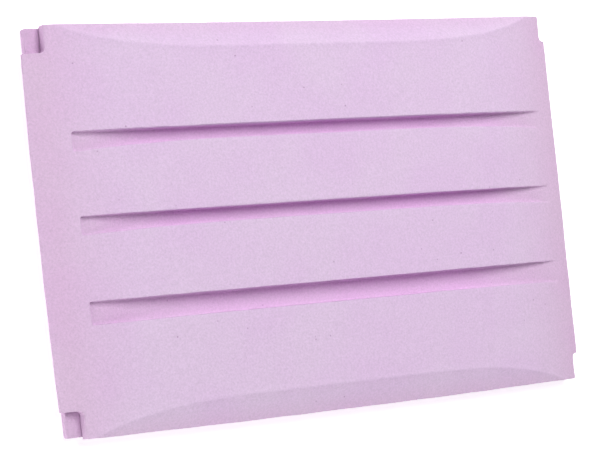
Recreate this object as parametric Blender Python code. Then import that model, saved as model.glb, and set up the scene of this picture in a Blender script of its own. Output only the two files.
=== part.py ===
"""Foam kneeling pad, made of three bonded layers of soft open-cell foam.

The pad lies flat with its crowned face up. X runs along its length, Y across its width and
Z up from the surface that it lies on. The origin is the middle of the underside. Metres.
"""

from math import radians

import bmesh
import bpy

# Overall size
LENGTH = 0.440
WIDTH = 0.280

# Layers, from the underside up
BASE_THICK = 0.006
CORE_TOP = 0.016
CROWN_RISE = 0.010  # of the top layer above the core, at mid-length
GLUE_LINE = 0.0003  # clear gap between bonded faces
BASE_INSET = 0.0014  # the backing sheet is cut this much smaller on each side

# Crown: rise * (1 - (x / half) ** power) ** ease is flat-topped and runs out at the notches
CROWN_HALF = 0.205
CROWN_POWER = 5.0
CROWN_EASE = 1.3
CROWN_STEPS = 28

# Ends: a rounded-over slope from the crown down to a low upright edge
END_RUN = 0.015
END_EDGE = 0.0075

# Long sides of the top layer: a flat bevel, rise over run
BEVEL_RISE = 0.54

# Square notches in the four corners. They go through the core and top layer at all four,
# and through the backing sheet at the +X end only, so it shows as a tab in the other two.
NOTCH_LEFT = 0.015  # how far the notches at the -X end reach along the pad
NOTCH_RIGHT = 0.007  # the same at the +X end
NOTCH_Y = 0.019

# Slots through the top layer: centre at the ends, width at the ends, width at mid-length
SLOT_HALF = 0.1995
SLOT_SHIFT = 0.0065  # how far the slots' middle lies towards the +X end
SLOTS = (
    (0.0595, 0.0135, 0.0095),
    (0.0023, 0.0130, 0.0102),
    (-0.0570, 0.0158, 0.0150),
)
SLOT_STEPS = 16
SLOT_BOW_POWER = 4  # the lower side of a slot is bowed evenly in the middle and quickly at the ends

# Cutters
OVER = 0.010  # how far a cutter stands out beyond the pad's sides and underside
REACH_UP = 0.040  # how far a cutter reaches above the core
BEVEL_REACH = 0.020  # how far the wedge that cuts a bevel reaches out from the pad's side
WELD = 0.00001  # points closer than this are one point

FOAM_ROUGHNESS = 0.95
FOAM_PINK = (0.74, 0.56, 0.78, 1.0)
CORE_PINK = (0.72, 0.54, 0.76, 1.0)
BASE_PINK = (0.68, 0.47, 0.70, 1.0)


def clear_scene():
    for obj in list(bpy.data.objects):
        bpy.data.objects.remove(obj, do_unlink=True)


def collection(name):
    group = bpy.data.collections.new(name)
    bpy.context.scene.collection.children.link(group)
    return group


def foam(name, colour):
    material = bpy.data.materials.new(name)
    material.use_nodes = True
    shader = material.node_tree.nodes["Principled BSDF"]
    shader.inputs["Base Color"].default_value = colour
    shader.inputs["Roughness"].default_value = FOAM_ROUGHNESS
    shader.inputs["Metallic"].default_value = 0.0
    return material


def box(name, low, high, group):
    """A box between two corners."""
    bpy.ops.mesh.primitive_cube_add(size=1, location=(0, 0, 0))
    obj = bpy.context.object
    obj.name = name
    for vertex in obj.data.vertices:
        vertex.co = [a if c < 0 else b for a, b, c in zip(low, high, vertex.co)]
    for owner in list(obj.users_collection):
        owner.objects.unlink(obj)
    group.objects.link(obj)
    return obj


def prism(name, outline, depth, turn, group, place=(0, 0, 0)):
    """A flat outline, extruded by depth, turned and made a closed mesh."""
    curve = bpy.data.curves.new(name, "CURVE")
    curve.dimensions = "2D"
    curve.fill_mode = "BOTH"
    curve.extrude = depth / 2
    spline = curve.splines.new("POLY")
    spline.points.add(len(outline) - 1)
    for point, (x, y) in zip(spline.points, outline):
        point.co = (x, y, 0, 1)
    spline.use_cyclic_u = True
    guide = bpy.data.objects.new(name + "_outline", curve)
    guide.rotation_euler = turn
    guide.location = place
    group.objects.link(guide)
    bpy.context.view_layer.update()
    shown = guide.evaluated_get(bpy.context.evaluated_depsgraph_get())
    mesh = bpy.data.meshes.new_from_object(shown)
    work = bmesh.new()
    work.from_mesh(mesh)
    bmesh.ops.remove_doubles(work, verts=work.verts, dist=WELD)
    bmesh.ops.recalc_face_normals(work, faces=work.faces)
    work.to_mesh(mesh)
    work.free()
    obj = bpy.data.objects.new(name, mesh)
    obj.matrix_world = guide.matrix_world.copy()
    group.objects.link(obj)
    bpy.data.objects.remove(guide, do_unlink=True)
    return obj


def crown_height(x):
    """Height of the pad's upper face over the underside, away from its ends."""
    part = min(abs(x) / CROWN_HALF, 1)
    return CORE_TOP + CROWN_RISE * (1 - part**CROWN_POWER) ** CROWN_EASE


def side_profile():
    """The body's side view: flat below, crowned above, rounded over at both ends."""
    half = LENGTH / 2
    shoulder = half - END_RUN
    crown = []
    for step in range(CROWN_STEPS + 1):
        x = shoulder * (1 - 2 * step / CROWN_STEPS)
        crown.append((x, crown_height(x)))
    right = [(half, BASE_THICK + GLUE_LINE), (half, END_EDGE)]
    left = [(-half, END_EDGE), (-half, BASE_THICK + GLUE_LINE)]
    return right + crown + left


def slot_outline(width, waist):
    """A closed-end slot, straight above and bowed upwards below, about its own centre."""
    upper = [(SLOT_HALF, width / 2), (-SLOT_HALF, width / 2)]
    lower = []
    for step in range(SLOT_STEPS + 1):
        along = 2 * step / SLOT_STEPS - 1
        bow = (width - waist) * (1 - along**SLOT_BOW_POWER)
        lower.append((SLOT_HALF * along, -width / 2 + bow))
    return upper + lower


def cut(obj, cutter, kind="DIFFERENCE"):
    cutter.hide_render = True
    cutter.display_type = "WIRE"
    step = obj.modifiers.new(kind.lower() + "_" + cutter.name, "BOOLEAN")
    step.operation = kind
    step.solver = "EXACT"
    step.object = cutter


def notch_corner(obj, side_x, side_y, cutters):
    """Takes one square corner out of a layer, through its whole height."""
    run = NOTCH_RIGHT if side_x > 0 else NOTCH_LEFT
    inner = (side_x * (LENGTH / 2 - run), side_y * (WIDTH / 2 - NOTCH_Y))
    outer = (side_x * (LENGTH / 2 + OVER), side_y * (WIDTH / 2 + OVER))
    low = (min(inner[0], outer[0]), min(inner[1], outer[1]), -OVER)
    high = (max(inner[0], outer[0]), max(inner[1], outer[1]), CORE_TOP + REACH_UP)
    cut(obj, box("notch_" + obj.name, low, high, cutters))


def layer(name, low, high, material, parts, cutters):
    """The part of the padded body between two heights, with its corners notched."""
    body = prism(name, side_profile(), WIDTH, (radians(90), 0, 0), parts)
    body.data.materials.append(material)
    reach_x = LENGTH / 2 + OVER
    reach_y = WIDTH / 2 + OVER
    slice_box = box("slice_" + name, (-reach_x, -reach_y, low), (reach_x, reach_y, high), cutters)
    cut(body, slice_box, "INTERSECT")
    for side_x in (-1, 1):
        for side_y in (-1, 1):
            notch_corner(body, side_x, side_y, cutters)
    return body


def base_sheet(parts, cutters):
    """Thin backing sheet under the whole pad. Its two -X corners show in the notches."""
    half_x = LENGTH / 2 - BASE_INSET
    half_y = WIDTH / 2 - BASE_INSET
    sheet = box("base_sheet", (-half_x, -half_y, 0), (half_x, half_y, BASE_THICK), parts)
    sheet.data.materials.append(foam("base_foam", BASE_PINK))
    for side_y in (-1, 1):
        notch_corner(sheet, 1, side_y, cutters)


def core_slab(parts, cutters):
    """Flat slab that gives the pad its thickness. Its upper face is the floor of the slots."""
    low = BASE_THICK + GLUE_LINE
    layer("core_slab", low, CORE_TOP, foam("core_foam", CORE_PINK), parts, cutters)


def crowned_top(parts, cutters):
    """Kneeling face: crowned along its length, bevelled along both sides, with three slots."""
    low = CORE_TOP + GLUE_LINE
    top = layer("crowned_top", low, CORE_TOP + REACH_UP, foam("top_foam", FOAM_PINK), parts, cutters)

    side = WIDTH / 2
    wedge = [
        (side, low),
        (side + BEVEL_REACH, low - BEVEL_REACH * BEVEL_RISE),
        (side + BEVEL_REACH, low + 2 * BEVEL_REACH),
        (side - 2 * BEVEL_REACH, low + 2 * BEVEL_REACH * BEVEL_RISE),
    ]
    for way in (-1, 1):
        outline = [(way * y, z) for y, z in wedge]
        turn = (radians(90), 0, radians(90))
        cut(top, prism("bevel_side", outline, LENGTH + 2 * OVER, turn, cutters))

    for centre, width, waist in SLOTS:
        outline = slot_outline(width, waist)
        place = (SLOT_SHIFT, centre, CORE_TOP)
        cut(top, prism("slot", outline, 2 * REACH_UP, (0, 0, 0), cutters, place))


clear_scene()
pad = collection("kneeling_pad")
tools = collection("cutters")
base_sheet(pad, tools)
core_slab(pad, tools)
crowned_top(pad, tools)
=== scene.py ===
"""Looks of the foam kneeling pad: a thin backing sheet, a flat core and a crowned, slotted top layer.

The pad lies flat with its crowned face up. Metres, +Z up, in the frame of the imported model.
"""

from math import radians

import bmesh
import bpy
import numpy as np
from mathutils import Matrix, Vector


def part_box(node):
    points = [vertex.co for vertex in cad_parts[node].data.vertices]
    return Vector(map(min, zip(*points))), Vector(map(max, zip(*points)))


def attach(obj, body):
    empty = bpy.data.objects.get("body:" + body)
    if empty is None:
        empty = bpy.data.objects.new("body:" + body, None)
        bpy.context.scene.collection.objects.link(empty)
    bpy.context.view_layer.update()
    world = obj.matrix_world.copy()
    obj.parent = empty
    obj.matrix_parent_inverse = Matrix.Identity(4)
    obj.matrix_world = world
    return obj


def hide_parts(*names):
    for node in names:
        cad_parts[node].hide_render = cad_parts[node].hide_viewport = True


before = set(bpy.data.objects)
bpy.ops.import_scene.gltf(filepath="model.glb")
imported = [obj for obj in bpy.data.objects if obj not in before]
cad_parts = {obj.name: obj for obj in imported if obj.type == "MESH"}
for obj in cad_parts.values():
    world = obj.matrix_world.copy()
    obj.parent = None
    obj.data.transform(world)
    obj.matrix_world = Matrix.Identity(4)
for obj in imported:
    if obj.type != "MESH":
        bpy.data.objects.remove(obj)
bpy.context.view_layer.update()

# Backing sheet. A thin sheet of the same foam, glued under the core, its tone painted a little darker and
# pinker as shade on its tabs in the notches.
# It is cut slightly small. Its square corners show as tabs at the left end, and at the right end
# they are notched like the layers above.
base_low, base_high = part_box("base_sheet")
core_low, core_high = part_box("core_slab")
top_low, top_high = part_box("crowned_top")
HALF_LENGTH = (core_high.x - core_low.x) / 2
HALF_WIDTH = (core_high.y - core_low.y) / 2
CLEAR = 0.01

# Notches, through every layer at the right end and through the upper two at the left
NOTCH_LEFT = 0.015
NOTCH_RIGHT = 0.007
NOTCH_Y = 0.019
NOTCH_ROUND = 0.003
NOTCH_SEGMENTS = 5
NEAR = 0.001

# The left end leans out of square by this much at each side, and is moved in by this much
SKEW = 0.0019
SKEW_SHIFT = 0.0006

SHEET_TRIM = 0.0025
SHEET_CORNER = 0.0015
SHEET_RIM = 0.0005
SHEET_CELL = 0.006
SHEET_CREASE = 35

# Edge directions: the least and most of an edge's rise that count as upright and as level
UPRIGHT = 0.99
LEVEL = 0.01

# Foam colours, and the heights between which the tone turns from the deep one to the face's. The deep
# tone is painted shade: darker and pinker low down, on the slot floors, the rolled ends and the low
# sides.
# The sheet's tone is painted darker and pinker than the face: painted shade for its tabs in the notches.
SHEET_SHADED_PINK = (0.66, 0.45, 0.66, 1)
# Pinholes are painted this darker pink: painted shade inside tiny holes.
PINHOLE_SHADE_PINK = (0.36, 0.18, 0.37, 1)
FULL_SHADE_LEVEL = 0.013
FACE_LEVEL = 0.0225

# Broad clouds in the saturation
CLOUD_SIZE = 0.045
CLOUD_DETAIL = 1.5
CLOUD_RANGE = (0.38, 0.66)
CLOUD_DEPTH = 0.06

# Fine grain: two brightness patterns, multiplied
GRAIN_SIZE = 0.0016
GRAIN_DETAIL = 3
GRAIN_RANGE = (0.3, 0.7)
GRAIN_TONE = (0.93, 1.06)
CELL_SIZE = 0.0010
CELL_RANGE = (0.1, 0.6)
CELL_TONE = (0.96, 1.02)
FOAM_SPECULAR = 0.12
ROUGHNESS_RANGE = (0.82, 0.97)
BUMP_STRENGTH = 0.6
BUMP_DEPTH = 0.0002

# Scattered pinholes: only some cells of the pattern hold one, and their weights differ. Each is painted
# dark, as painted shade inside a tiny hole, and dents the bump a little.
PINHOLE_PITCH = 0.011
PINHOLE_CORE = 0.0325
PINHOLE_EDGE = 0.078
PINHOLE_SHARE = 0.35
PINHOLE_WEIGHT = 0.75

# Faint emission that stands in for light scattered through the foam's walls into the slots
GLOW = 0.055
GLOW_PINK = (1.0, 0.16, 1.0, 1)
GLOW_LOW = 0.0150
GLOW_HIGH = 0.0190
GLOW_LENGTH = 0.190
GLOW_WIDTH = 0.150
GLOW_FADE = 0.080


def select_only(piece):
    """Makes a piece the only selected object, and the active one."""
    bpy.ops.object.select_all(action="DESELECT")
    piece.select_set(True)
    bpy.context.view_layer.objects.active = piece


def add_box(name, low, high):
    """Adds a cube primitive that fills the box between two corners."""
    low, high = Vector(low), Vector(high)
    bpy.ops.object.select_all(action="DESELECT")
    bpy.ops.mesh.primitive_cube_add(size=1, location=(low + high) / 2)
    piece = bpy.context.object
    piece.name = piece.data.name = name
    piece.scale = high - low
    bpy.ops.object.transform_apply(location=True, rotation=True, scale=True)
    return piece


def bevel_edges(piece, wanted, width, segments):
    """Rounds the edges for which wanted(middle, direction) is true."""
    select_only(piece)
    bpy.ops.object.mode_set(mode="EDIT")
    bpy.ops.mesh.select_mode(type="EDGE")
    bpy.ops.mesh.select_all(action="DESELECT")
    net = bmesh.from_edit_mesh(piece.data)
    for edge in net.edges:
        start, end = (vert.co for vert in edge.verts)
        edge.select_set(wanted((start + end) / 2, (end - start).normalized()))
    bpy.ops.mesh.bevel(offset=width, segments=segments, affect="EDGES")
    bpy.ops.object.mode_set(mode="OBJECT")


def cut_across(piece, axis, places):
    """Bisects a piece square to an axis at each place, and keeps both sides."""
    select_only(piece)
    bpy.ops.object.mode_set(mode="EDIT")
    across = [float(i == axis) for i in range(3)]
    for place in places:
        bpy.ops.mesh.select_all(action="SELECT")
        bpy.ops.mesh.bisect(plane_co=[place * a for a in across], plane_no=across)
    bpy.ops.object.mode_set(mode="OBJECT")


def cut(piece, cutter, operation="DIFFERENCE", solver="EXACT"):
    """Takes the cutter's shape out of a piece, or keeps it alone, and removes the cutter."""
    boolean = piece.modifiers.new(cutter.name, "BOOLEAN")
    boolean.operation = operation
    boolean.solver = solver
    boolean.object = cutter
    select_only(piece)
    bpy.ops.object.modifier_apply(modifier=boolean.name)
    bpy.data.objects.remove(cutter)


def notch_corner(piece, end, side):
    """Cuts the square notch, with its soft inner corner, at one corner of the pad."""
    run = NOTCH_RIGHT if end > 0 else NOTCH_LEFT
    inner = Vector((end * (HALF_LENGTH - run), side * (HALF_WIDTH - NOTCH_Y), -CLEAR))
    outer = Vector((end * (HALF_LENGTH + CLEAR), side * (HALF_WIDTH + CLEAR), top_high.z + CLEAR))
    low = [min(pair) for pair in zip(inner, outer)]
    high = [max(pair) for pair in zip(inner, outer)]
    notch = add_box("notch", low, high)
    bevel_edges(
        notch,
        lambda middle, along: abs(along.z) > UPRIGHT and (middle.xy - inner.xy).length < NEAR,
        NOTCH_ROUND,
        NOTCH_SEGMENTS,
    )
    cut(piece, notch)


def points_of(piece):
    """A piece's points as an array of rows."""
    points = np.empty(3 * len(piece.data.vertices), np.float32)
    piece.data.vertices.foreach_get("co", points)
    return points.reshape(-1, 3)


def place_points(piece, points):
    """Writes the array of points back to the piece."""
    piece.data.vertices.foreach_set("co", points.astype(np.float32).ravel())
    piece.data.update()


def skew_left(piece):
    """Leans the left end a little out of square, and leaves the right end alone."""
    points = points_of(piece)
    leftward = np.clip(-points[:, 0] / HALF_LENGTH, 0, 1)
    points[:, 0] += leftward * (SKEW_SHIFT - SKEW * points[:, 1] / HALF_WIDTH)
    place_points(piece, points)


def add_node(tree, kind, inputs, **settings):
    """Adds a shader node, with its settings, and with its inputs as values or links."""
    node = tree.nodes.new("ShaderNode" + kind)
    for name, value in settings.items():
        setattr(node, name, value)
    for name, value in inputs.items():
        if isinstance(value, bpy.types.NodeSocket):
            tree.links.new(value, node.inputs[name])
        else:
            node.inputs[name].default_value = value
    return node


def combine(tree, operation, first, second):
    """The result of a sum, difference or product of two values."""
    return add_node(tree, "Math", {0: first, 1: second}, operation=operation).outputs["Value"]


def remap(tree, value, low, high, to_low, to_high):
    """Maps a value from one range to another, held at both ends."""
    node = add_node(tree, "MapRange", {"Value": value, "From Min": low, "From Max": high})
    node.inputs["To Min"].default_value = to_low
    node.inputs["To Max"].default_value = to_high
    return node.outputs["Result"]


def foam_finish(name, low_shade, pink):
    """Soft open foam: a deeper pink low down as painted shade, a fine cell grain, sparse pinholes painted
    dark as shade, and a faint painted glow for light in the slots.
    """
    material = bpy.data.materials.new(name)
    material.use_nodes = True
    tree = material.node_tree
    shader = tree.nodes["Principled BSDF"]
    shader.inputs["Specular IOR Level"].default_value = FOAM_SPECULAR
    shader.inputs["Emission Color"].default_value = GLOW_PINK
    place = add_node(tree, "TexCoord", {}).outputs["Object"]
    along, across, height = add_node(tree, "SeparateXYZ", {"Vector": place}).outputs

    strength = remap(tree, height, GLOW_LOW, GLOW_HIGH, GLOW, 0)
    for distance, reach in ((along, GLOW_LENGTH), (across, GLOW_WIDTH)):
        far = add_node(tree, "Math", {0: distance}, operation="ABSOLUTE").outputs["Value"]
        near = remap(tree, far, reach - GLOW_FADE, reach, 1, 0)
        strength = combine(tree, "MULTIPLY", strength, near)
    tree.links.new(strength, shader.inputs["Emission Strength"])

    # Painted shade: the colour turns from the deep, shaded tone low down to the face's tone higher up.
    raised = remap(tree, height, FULL_SHADE_LEVEL, FACE_LEVEL, 0, 1)
    shaded_low = add_node(tree, "MixRGB", {"Fac": raised, "Color1": low_shade, "Color2": pink})
    cloud = add_node(tree, "TexNoise", {"Vector": place, "Scale": 1 / CLOUD_SIZE, "Detail": CLOUD_DETAIL})
    clouded = remap(tree, cloud.outputs["Fac"], *CLOUD_RANGE, 1 - CLOUD_DEPTH, 1 + CLOUD_DEPTH)
    ground = add_node(tree, "HueSaturation", {"Saturation": clouded, "Color": shaded_low.outputs["Color"]})

    noise = add_node(tree, "TexNoise", {"Vector": place, "Scale": 1 / GRAIN_SIZE, "Detail": GRAIN_DETAIL})
    grain = noise.outputs["Fac"]
    cells = add_node(tree, "TexVoronoi", {"Vector": place, "Scale": 1 / CELL_SIZE}).outputs["Distance"]
    mottle = remap(tree, grain, *GRAIN_RANGE, *GRAIN_TONE)
    speck = remap(tree, cells, *CELL_RANGE, *CELL_TONE)
    tone = combine(tree, "MULTIPLY", mottle, speck)
    grained = add_node(tree, "VectorMath", {0: ground.outputs["Color"]}, operation="SCALE")
    tree.links.new(tone, grained.inputs["Scale"])

    # Painted shade: sparse pinholes darken the colour as the shade inside tiny holes.
    holes = add_node(tree, "TexVoronoi", {"Vector": place, "Scale": 1 / PINHOLE_PITCH})
    inside = remap(tree, holes.outputs["Distance"], PINHOLE_CORE, PINHOLE_EDGE, 1, 0)
    chance = add_node(tree, "SeparateColor", {"Color": holes.outputs["Color"]}).outputs["Red"]
    weight = remap(tree, chance, PINHOLE_SHARE, 1.0, 0, PINHOLE_WEIGHT)
    hole = combine(tree, "MULTIPLY", inside, weight)
    hole_shaded = add_node(
        tree, "MixRGB", {"Fac": hole, "Color1": grained.outputs["Vector"], "Color2": PINHOLE_SHADE_PINK}
    )
    tree.links.new(hole_shaded.outputs["Color"], shader.inputs["Base Color"])
    tree.links.new(remap(tree, grain, *GRAIN_RANGE, *ROUGHNESS_RANGE), shader.inputs["Roughness"])

    pitted = combine(tree, "SUBTRACT", combine(tree, "ADD", grain, cells), hole)
    bump = add_node(tree, "Bump", {"Height": pitted, "Strength": BUMP_STRENGTH, "Distance": BUMP_DEPTH})
    tree.links.new(bump.outputs["Normal"], shader.inputs["Normal"])
    return material


sheet = add_box("backing_sheet", (base_low.x + SHEET_TRIM, base_low.y, base_low.z), base_high)
for side in (1, -1):
    notch_corner(sheet, 1, side)
bevel_edges(sheet, lambda middle, along: abs(along.z) > UPRIGHT and middle.x < 0, SHEET_CORNER, 4)
bevel_edges(sheet, lambda middle, along: abs(along.z) < LEVEL, SHEET_RIM, 2)
cut_across(sheet, 0, np.arange(base_low.x + SHEET_CELL, base_high.x, SHEET_CELL))
cut_across(sheet, 1, np.arange(base_low.y + SHEET_CELL, base_high.y, SHEET_CELL))
skew_left(sheet)
sheet.data.materials.append(foam_finish("backing_foam", SHEET_SHADED_PINK, SHEET_SHADED_PINK))
select_only(sheet)
bpy.ops.object.shade_smooth_by_angle(angle=radians(SHEET_CREASE))
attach(sheet, "root")
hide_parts("base_sheet")

# Core and top layer, shaped together. Two slabs of soft pink foam, glued face to face and then
# shaped as one block: the crown, the bevelled sides, the rolled ends, three slots and four notches.
# The block is split at the glue line only once its skin is done, so that no seam shows.
CORE_TOP = core_high.z
CORE_CLEAR = 0.0003
# The first tone is painted shade for the low parts: slot floors, rolled ends and sides.
SHADED_LOW_PINK = (0.71, 0.505, 0.71, 1)
FACE_PINK = (0.73, 0.555, 0.765, 1)
LAYER_CREASE = 40

# Crown and rolled ends. Extra stations crowd the last of each roll, as parts of its run.
CROWN_HALF = 0.205
CROWN_POWER = 5.0
CROWN_EASE = 1.3
STATIONS = 176
END_RUN = 0.032
END_EDGE = 0.0072
END_ROUND = 1.7
END_STATIONS = (0.985, 0.94, 0.85)

# Bevelled long sides, rise over run, with a low bead along the crest
BEVEL_RISE = 0.54
CREST_LIFT = 0.0004
CREST_REACH = 0.0020

# Slots. Each has its centre line at the ends, its width at the ends, and its width at the waist.
# The floor rises to the face over the last of the right-hand end.
SLOTS = ((0.0595, 0.0135, 0.0095), (0.0023, 0.0130, 0.0102), (-0.0570, 0.0158, 0.0150))
SLOT_HALF = 0.1995
SLOT_SHIFT = 0.0065
SLOT_FLOOR = CORE_TOP - 0.0014
SLOT_STATIONS = 48
SLOT_BOW_POWER = 4
SLOT_FADE = 0.008
SLOT_FADE_POWER = 2

# Skin: voxel size, smoothing, then broad waves and a fine grain
VOXEL = 0.0011
SOFTEN = 2
SOFTEN_FACTOR = 0.5
WAVE_SIZE = 0.030
WAVE_DEPTH = 0.0006
SKIN_GRAIN = 0.0030
SKIN_DEPTH = 0.00022

# How far the middle of each side swells out beyond its corners. The back draws in instead.
SWELL_LEFT = 0.0015
SWELL_RIGHT = 0.0004
SWELL_FRONT = 0.0015
SWELL_BACK = -0.0008
SWELL_POWER = 3


def face_height(x):
    """Height of the face along the middle: a flat-topped crown that rolls down at both ends."""
    reach = np.abs(x)
    part = np.minimum(reach / CROWN_HALF, 1)
    crown = CORE_TOP + (top_high.z - CORE_TOP) * (1 - part ** CROWN_POWER) ** CROWN_EASE
    roll = np.clip((reach - HALF_LENGTH + END_RUN) / END_RUN, 0, 1)
    drop = (1 - roll ** END_ROUND) ** (1 / END_ROUND)
    return END_EDGE + (crown - END_EDGE) * drop


def shave(piece, place, outward):
    """Bisects a piece by a plane and takes away what lies on the outward side."""
    select_only(piece)
    bpy.ops.object.mode_set(mode="EDIT")
    bpy.ops.mesh.select_all(action="SELECT")
    bpy.ops.mesh.bisect(plane_co=place, plane_no=outward, use_fill=True, clear_outer=True)
    bpy.ops.object.mode_set(mode="OBJECT")


def keep_between(piece, low, high):
    """Keeps the part of a piece between two heights."""
    reach = Vector((HALF_LENGTH + CLEAR, HALF_WIDTH + CLEAR, 0))
    slab = add_box("slab", Vector((0, 0, low)) - reach, Vector((0, 0, high)) + reach)
    cut(piece, slab, "INTERSECT", "MANIFOLD")


def slot_cutter(number, centre, width, waist):
    """A long bar with a straight upper side, and a lower side that bows in to the slot's waist."""
    low = (-SLOT_HALF, centre - width / 2, SLOT_FLOOR)
    bar = add_box(f"slot_{number}", low, (SLOT_HALF, centre + width / 2, top_high.z + CLEAR))
    pitch = 2 * SLOT_HALF / SLOT_STATIONS
    cut_across(bar, 0, np.arange(-SLOT_HALF + pitch, SLOT_HALF - pitch / 2, pitch))
    points = points_of(bar)
    lower = points[:, 1] < centre
    along = points[lower, 0] / SLOT_HALF
    points[lower, 1] += (width - waist) * (1 - along ** SLOT_BOW_POWER)
    floor = points[:, 2] < CORE_TOP
    rise = np.clip((points[floor, 0] - SLOT_HALF + SLOT_FADE) / SLOT_FADE, 0, 1)
    full_rise = face_height(SLOT_SHIFT + SLOT_HALF) - SLOT_FLOOR
    points[floor, 2] += full_rise * rise ** SLOT_FADE_POWER
    points[:, 0] += SLOT_SHIFT
    place_points(bar, points)
    return bar


def roughen(piece, kind, size, depth):
    """Displaces a piece's surface by a soft procedural texture of that grain size, and applies it."""
    texture = bpy.data.textures.new(f"{piece.name}_{kind.lower()}", kind)
    texture.noise_scale = size
    displace = piece.modifiers.new(texture.name, "DISPLACE")
    displace.texture = texture
    displace.texture_coords = "LOCAL"
    displace.strength = depth
    select_only(piece)
    bpy.ops.object.modifier_apply(modifier=displace.name)


block = add_box("foam_block", core_low, (core_high.x, core_high.y, top_high.z))
pitch = 2 * HALF_LENGTH / STATIONS
stations = np.arange(-HALF_LENGTH + pitch, HALF_LENGTH - pitch / 2, pitch)
rolled = HALF_LENGTH - END_RUN * (1 - np.array(END_STATIONS))
cut_across(block, 0, [*stations, *rolled, *-rolled])
points = points_of(block)
upper = points[:, 2] > CORE_TOP
points[upper, 2] = face_height(points[upper, 0])
place_points(block, points)
for side in (1, -1):
    shave(block, (0, side * HALF_WIDTH, CORE_TOP), (0, side * BEVEL_RISE, 1))
    for end in (1, -1):
        notch_corner(block, end, side)
for number, slot in enumerate(SLOTS):
    cut(block, slot_cutter(number, *slot))

block.data.remesh_voxel_size = VOXEL
block.data.remesh_voxel_adaptivity = 0
select_only(block)
bpy.ops.object.voxel_remesh()
smooth = block.modifiers.new("soft_edges", "SMOOTH")
smooth.factor = SOFTEN_FACTOR
smooth.iterations = SOFTEN
bpy.ops.object.modifier_apply(modifier=smooth.name)
roughen(block, "CLOUDS", WAVE_SIZE, WAVE_DEPTH)
roughen(block, "CLOUDS", SKIN_GRAIN, SKIN_DEPTH)

points = points_of(block)
crest = HALF_WIDTH - (face_height(points[:, 0]) - CORE_TOP) / BEVEL_RISE
beside = (np.abs(points[:, 1]) - crest) / CREST_REACH
raised = (points[:, 2] > CORE_TOP) & (np.abs(points[:, 0]) < CROWN_HALF)
points[raised, 2] += CREST_LIFT * np.exp(-beside[raised] ** 2)
part = points[:, :2] / (HALF_LENGTH, HALF_WIDTH)
bow = 1 - part ** 2
swell_x = np.where(part[:, 0] > 0, SWELL_RIGHT, SWELL_LEFT)
swell_y = np.where(part[:, 1] > 0, SWELL_BACK, SWELL_FRONT)
points[:, 0] += swell_x * part[:, 0] ** SWELL_POWER * bow[:, 1]
points[:, 1] += swell_y * part[:, 1] ** SWELL_POWER * bow[:, 0]
place_points(block, points)
skew_left(block)

select_only(block)
bpy.ops.object.duplicate()
core = bpy.context.object
core.name = core.data.name = "foam_core"
block.name = block.data.name = "crowned_face"
keep_between(core, base_high.z + CORE_CLEAR, CORE_TOP)
keep_between(block, CORE_TOP, top_high.z + CLEAR)
foam = foam_finish("face_foam", SHADED_LOW_PINK, FACE_PINK)
for piece, node, slot in ((core, "core_slab", "core_foam"), (block, "crowned_top", "top_foam")):
    piece.data.materials.clear()
    piece.data.materials.append(foam)
    select_only(piece)
    bpy.ops.object.shade_smooth_by_angle(angle=radians(LAYER_CREASE))
    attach(piece, "root")
    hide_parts(node)

# Studio: a white table that glows faintly, in a pale tent that is brightest low down. One large soft
# lamp stands nearly overhead, towards the back and a little right, and a weaker one low at the front
# left fills the shade. The camera looks down over the left end.
FLOOR_SIZE = 6
FLOOR_DROP = 0.0002
FLOOR_WHITE = (0.9, 0.9, 0.9, 1)
FLOOR_ROUGHNESS = 0.9
FLOOR_GLOW = 0.55
WHITE = (1, 1, 1, 1)
CAMERA_PLACE = (-0.8333, -0.0792, 1.3505)
CAMERA_TURN = (5.998, -30.867, -6.732)
CAMERA_LENS = 131.62
LAMP_DISTANCE = 2.2
# Each lamp: its tilt from overhead, its turn from the near long side, its size and its power
LAMPS = {"overhead": (28, 163, 1.35, 42), "fill": (68, -48, 1.2, 15)}
TENT_LOW = 0.72
TENT_HIGH = 0.10
TENT_TOP = 0.7

bpy.ops.object.select_all(action="DESELECT")
bpy.ops.mesh.primitive_plane_add(size=FLOOR_SIZE, location=(0, 0, -FLOOR_DROP))
floor = bpy.context.object
floor.name = "floor"
paper = bpy.data.materials.new("white_table")
paper.use_nodes = True
paper_shader = paper.node_tree.nodes["Principled BSDF"]
paper_shader.inputs["Base Color"].default_value = FLOOR_WHITE
paper_shader.inputs["Roughness"].default_value = FLOOR_ROUGHNESS
paper_shader.inputs["Emission Color"].default_value = WHITE
paper_shader.inputs["Emission Strength"].default_value = FLOOR_GLOW
floor.data.materials.append(paper)

for name, (tilt, turn, size, power) in LAMPS.items():
    lamp = bpy.data.objects.new(name, bpy.data.lights.new(name, "AREA"))
    lamp.data.size = size
    lamp.data.energy = power
    lamp.rotation_euler = (radians(tilt), 0, radians(turn))
    lamp.location = lamp.rotation_euler.to_matrix() @ Vector((0, 0, LAMP_DISTANCE))
    bpy.context.scene.collection.objects.link(lamp)

world = bpy.data.worlds.new("tent")
world.use_nodes = True
direction = add_node(world.node_tree, "TexCoord", {}).outputs["Generated"]
upward = add_node(world.node_tree, "SeparateXYZ", {"Vector": direction}).outputs["Z"]
tent = world.node_tree.nodes["Background"]
tent.inputs["Color"].default_value = WHITE
strength = remap(world.node_tree, upward, 0, TENT_TOP, TENT_LOW, TENT_HIGH)
world.node_tree.links.new(strength, tent.inputs["Strength"])
bpy.context.scene.world = world

camera = bpy.data.objects.new("camera", bpy.data.cameras.new("camera"))
camera.location = CAMERA_PLACE
camera.rotation_euler = [radians(angle) for angle in CAMERA_TURN]
camera.data.lens = CAMERA_LENS
bpy.context.scene.collection.objects.link(camera)
bpy.context.scene.camera = camera
bpy.context.scene.view_settings.view_transform = "Standard"
